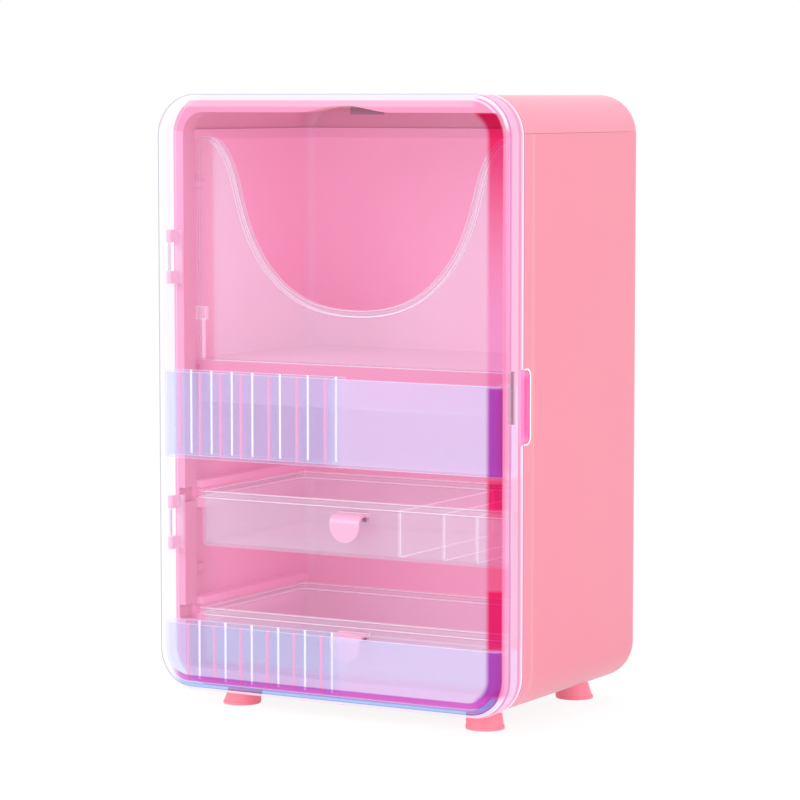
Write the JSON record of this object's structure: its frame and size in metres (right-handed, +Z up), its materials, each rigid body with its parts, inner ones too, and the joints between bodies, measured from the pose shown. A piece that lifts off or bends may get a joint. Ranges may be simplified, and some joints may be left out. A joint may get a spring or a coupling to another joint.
{
  "type": "cosmetic case",
  "caption": "Table-top cosmetic case on splayed feet with a hinged clear door carrying divided bins, a flip-up lid and sliding clear drawers.",
  "frame": {"origin": "centre of the bounding box's footprint, on the plane that the four feet stand on", "axes": "+Z up, +X to the viewer's right, -Y the front where the door is, +Y the back"},
  "size_m": [0.25, 0.1888, 0.3864],
  "materials": {
    "bracket_pink": "smooth pale pink plastic",
    "cabinet_pink": "smooth satin pink moulded ABS",
    "clear_clip": "clear polished plastic",
    "clear_divider": "clear polished plastic",
    "clear_door": "clear polished plastic",
    "clear_drawer": "clear polished plastic",
    "clear_panel": "clear polished plastic",
    "dark_screw": "darkened steel",
    "foot_pink": "soft satin pink plastic",
    "grey_plastic": "dark grey plastic",
    "inner_pink": "satin pink moulded ABS",
    "latch_steel": "brushed steel strip",
    "leaf_pink": "smooth satin pink plastic",
    "lid_pink": "smooth satin pink moulded ABS",
    "lilac_clear": "translucent blue-lilac plastic",
    "magnet": "plated magnet",
    "pull_pink": "smooth pale pink plastic",
    "steel": "plain steel"
  },
  "bodies": {
    "door": {"door_shell": "clear_door", "latch_plate": "latch_steel", "lower_bin": "lilac_clear", "lower_bin_dividers": "lilac_clear", "upper_bin": "lilac_clear", "upper_bin_dividers": "lilac_clear"},
    "cabinet": {"foot_screws": "steel", "frame_screws": "steel", "front_frame": "cabinet_pink", "front_left_foot": "foot_pink", "front_right_foot": "foot_pink", "latch_magnet": "magnet", "left_lid_hinge_leaf": "leaf_pink", "left_panel_clip": "clear_clip", "lid_hinge_pins": "steel", "lower_hinge_bracket": "bracket_pink", "lower_hinge_pin": "steel", "lower_left_runner": "inner_pink", "lower_right_runner": "inner_pink", "main_shell": "cabinet_pink", "rear_left_foot": "foot_pink", "rear_right_foot": "foot_pink", "right_lid_hinge_leaf": "leaf_pink", "right_panel_clip": "clear_clip", "scoop_panel": "clear_panel", "shelf": "inner_pink", "upper_hinge_bracket": "bracket_pink", "upper_hinge_pin": "steel", "upper_left_runner": "inner_pink", "upper_right_runner": "inner_pink"},
    "lid": {"lid_cap": "lid_pink", "lid_catch_block": "grey_plastic"},
    "lower_drawer": {"lower_drawer_tray": "clear_drawer", "lower_pull": "pull_pink", "lower_pull_screw": "dark_screw"},
    "upper_drawer": {"upper_drawer_dividers": "clear_divider", "upper_drawer_tray": "clear_drawer", "upper_pull": "pull_pink", "upper_pull_screw": "dark_screw"}
  },
  "joints": [
    {"name": "door_swing", "type": "hinge", "parent": "cabinet", "child": "door", "pos_m": [-0.123, -0.0776, 0.2], "axis": [0, 0, -1], "range_deg": [0, 120]},
    {"name": "lid_swing", "type": "hinge", "parent": "cabinet", "child": "lid", "pos_m": [0, 0.092, 0.3624], "axis": [-1, 0, 0], "range_deg": [0, 100]},
    {"name": "upper_drawer_slide", "type": "slide", "parent": "cabinet", "child": "upper_drawer", "axis": [0, -1, 0], "range_m": [0, 0.053]},
    {"name": "lower_drawer_slide", "type": "slide", "parent": "cabinet", "child": "lower_drawer", "axis": [0, -1, 0], "range_m": [0, 0.053]}
  ],
  "couplings": [
    {"joint": "upper_drawer_slide", "follows": "door_swing", "m_per_rad": 0.02521},
    {"joint": "lower_drawer_slide", "follows": "door_swing", "m_per_rad": 0.02521}
  ]
}
